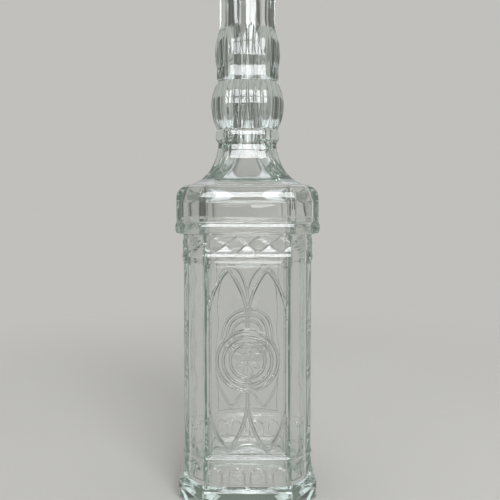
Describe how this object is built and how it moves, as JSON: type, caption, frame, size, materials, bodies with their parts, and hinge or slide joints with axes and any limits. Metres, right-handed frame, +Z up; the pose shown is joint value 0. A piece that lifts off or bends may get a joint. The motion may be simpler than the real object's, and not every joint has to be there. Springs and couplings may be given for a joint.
{
  "type": "glass oil bottle",
  "caption": "Tall square bottle of clear moulded glass with chamfered corners, sunk panels with raised tracery, a stepped shoulder, a ribbed neck and a cork stopper with a turned head.",
  "frame": {"origin": "middle of the foot, on the plane that the bottle stands on", "axes": "+Z up along the bottle's axis, -Y towards the front panel"},
  "size_m": [0.082, 0.082, 0.3312],
  "materials": {
    "clear_glass": "clear soda-lime glass with a faint grey-green cast, fire-polished and slightly wavy",
    "cork": "natural cork, matt, with dark pores",
    "turned_wood": "turned beech, oiled"
  },
  "bodies": {
    "bottle": {"glass_bottle": "clear_glass"},
    "stopper": {"stopper_cork": "cork", "stopper_head": "turned_wood"}
  },
  "joints": [
    {"name": "stopper_pull", "type": "slide", "parent": "bottle", "child": "stopper", "axis": [0, 0, 1], "range_m": [0, 0.03]}
  ]
}
